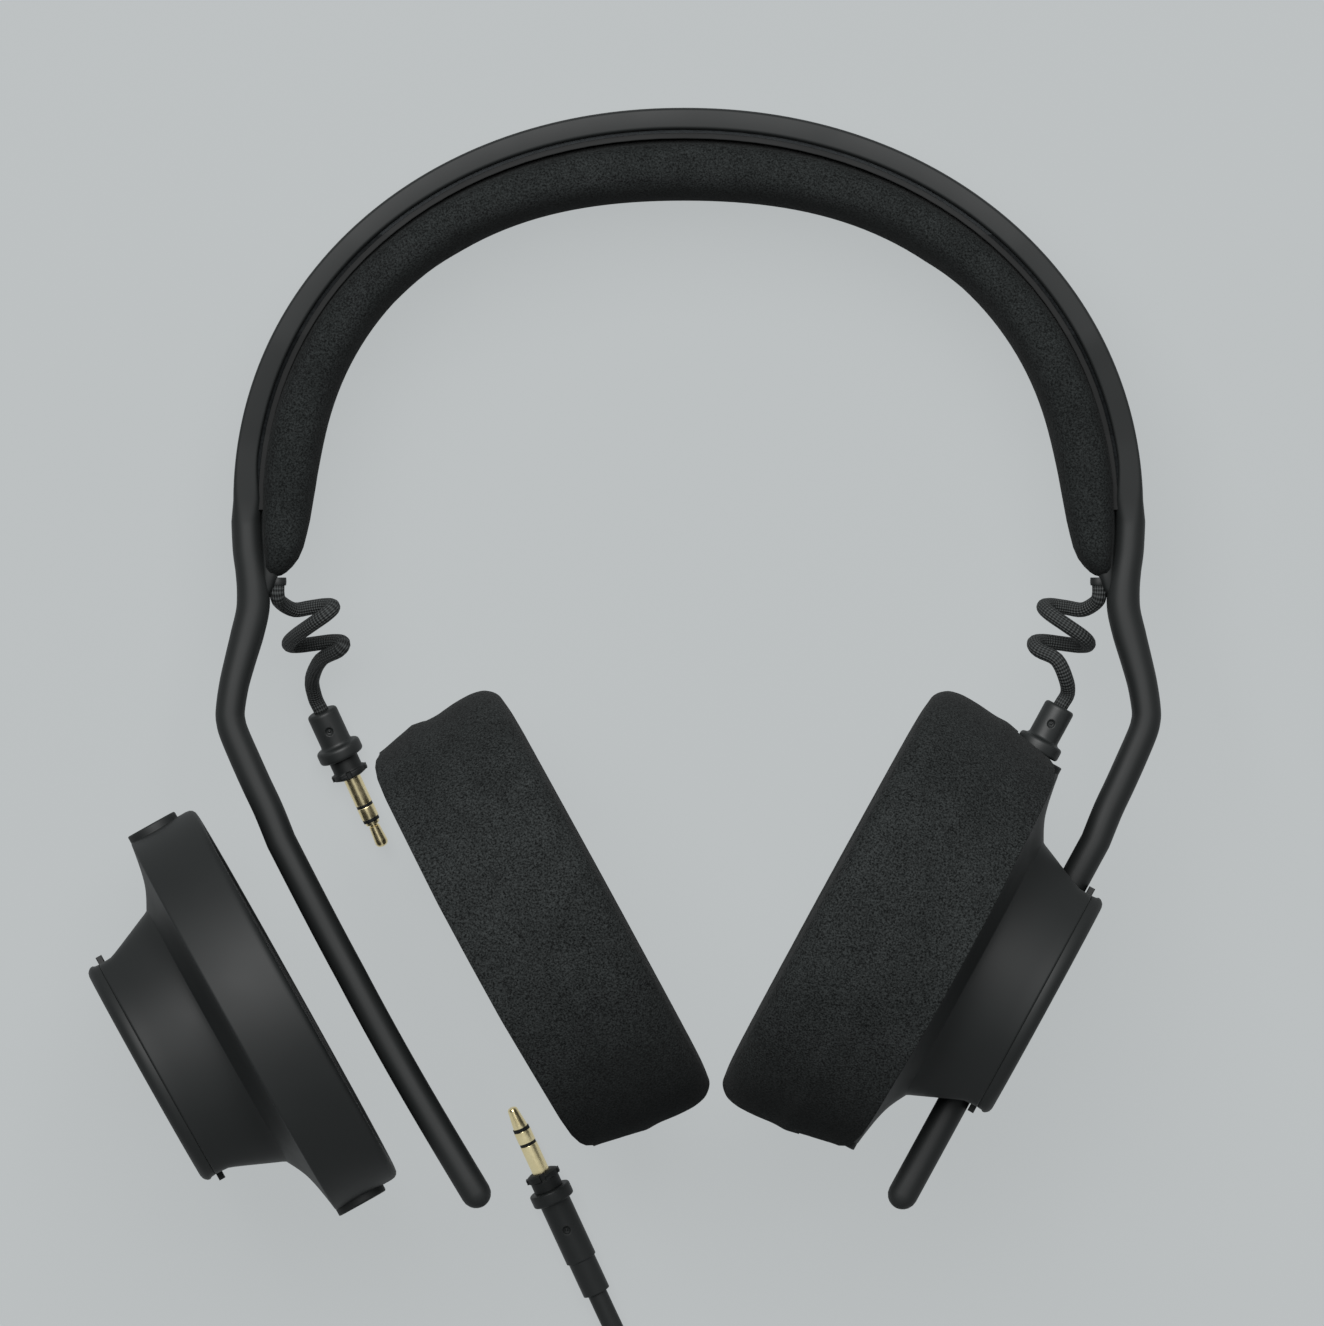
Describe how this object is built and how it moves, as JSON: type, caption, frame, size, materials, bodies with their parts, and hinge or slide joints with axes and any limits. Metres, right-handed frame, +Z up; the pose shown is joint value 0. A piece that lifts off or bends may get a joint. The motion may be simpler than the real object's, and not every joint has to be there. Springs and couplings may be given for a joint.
{
  "type": "headset",
  "caption": "Modular over-ear headset laid out partly taken apart: padded headband with arms, round speakers, microfibre ear pads, curly cords and a coiled main cable.",
  "frame": {"origin": "on the table, under the middle of the box round the headset without its cords and plugs", "axes": "+Z up from the table, +Y towards the crown of the headband, +X towards the assembled right speaker"},
  "size_m": [0.2147, 0.3324, 0.0937],
  "materials": {
    "shell": "satin black moulded plastic",
    "soft_fabric": "black microfibre",
    "cord_jacket": "satin black cord jacket",
    "braid": "black braided cord",
    "gold": "gold-plated contacts",
    "inner_black": "matt black plastic",
    "spring_steel": "spring steel",
    "magnet_steel": "plated magnet and screws",
    "diaphragm_film": "translucent film",
    "socket": "dark socket body"
  },
  "bodies": {
    "headband": {"band_shell": "shell", "band_spring": "spring_steel", "band_backing": "inner_black", "band_pad": "soft_fabric", "left_arm": "shell", "right_arm": "shell", "left_cord_gland": "inner_black", "right_cord_gland": "inner_black", "left_curly_cord": "braid", "right_curly_cord": "braid"},
    "right_speaker": {"right_housing": "shell", "right_rim": "shell", "right_back_cover": "shell", "right_arm_clip": "inner_black", "right_baffle": "inner_black", "right_baffle_screws": "magnet_steel", "right_driver_frame": "inner_black", "right_driver_magnet": "magnet_steel", "right_diaphragm": "diaphragm_film", "right_felt": "soft_fabric", "right_top_jack": "socket", "right_bottom_jack": "socket"},
    "right_pad": {"right_cushion": "soft_fabric", "right_pad_skirt": "soft_fabric", "right_pad_ring": "inner_black", "right_pad_cloth": "soft_fabric"},
    "right_plug": {"right_plug_barrel": "shell", "right_plug_tail": "inner_black", "right_plug_contacts": "gold", "right_plug_insulators": "inner_black"},
    "left_speaker": {"left_housing": "shell", "left_rim": "shell", "left_back_cover": "shell", "left_arm_clip": "inner_black", "left_baffle": "inner_black", "left_baffle_screws": "magnet_steel", "left_driver_frame": "inner_black", "left_driver_magnet": "magnet_steel", "left_diaphragm": "diaphragm_film", "left_felt": "soft_fabric", "left_top_jack": "socket", "left_bottom_jack": "socket"},
    "left_pad": {"left_cushion": "soft_fabric", "left_pad_skirt": "soft_fabric", "left_pad_ring": "inner_black", "left_pad_cloth": "soft_fabric"},
    "left_plug": {"left_plug_barrel": "shell", "left_plug_tail": "inner_black", "left_plug_contacts": "gold", "left_plug_insulators": "inner_black"},
    "main_cable": {"main_plug_barrel": "shell", "main_plug_tail": "inner_black", "main_plug_contacts": "gold", "main_plug_insulators": "inner_black", "main_cable": "cord_jacket", "cable_tie": "cord_jacket", "far_plug_barrel": "shell", "far_plug_contacts": "gold", "far_plug_insulators": "inner_black"}
  },
  "joints": [
    {"name": "right_size_slide", "type": "slide", "parent": "headband", "child": "right_speaker", "axis": [0.4787, 0.8599, -0.1773], "range_m": [-0.002, 0.008], "deforming": ["right_curly_cord"]},
    {"name": "right_pad_twist", "type": "hinge", "parent": "right_speaker", "child": "right_pad", "pos_m": [0.05393, -0.0519, 0.04767], "axis": [0.878, -0.4688, 0.0967], "range_deg": [0, 10]},
    {"name": "right_plug_pull", "type": "slide", "parent": "right_speaker", "child": "right_plug", "axis": [0.4787, 0.8599, -0.1773], "range_m": [0, 0.008], "deforming": ["right_curly_cord"]},
    {"name": "left_speaker_slide", "type": "slide", "parent": "headband", "child": "left_speaker", "axis": [0.8729, 0.4778, -0.0985], "range_m": [-0.02, 0.005]},
    {"name": "left_pad_lift", "type": "slide", "parent": "headband", "child": "left_pad", "axis": [0, 0, 1], "range_m": [0, 0.03]},
    {"name": "left_plug_draw", "type": "slide", "parent": "headband", "child": "left_plug", "axis": [0.4097, -0.9122, 0], "range_m": [0, 0.012], "deforming": ["left_curly_cord"]},
    {"name": "main_cable_draw", "type": "slide", "parent": "headband", "child": "main_cable", "axis": [0.411, -0.9117, 0], "range_m": [0, 0.02]}
  ]
}
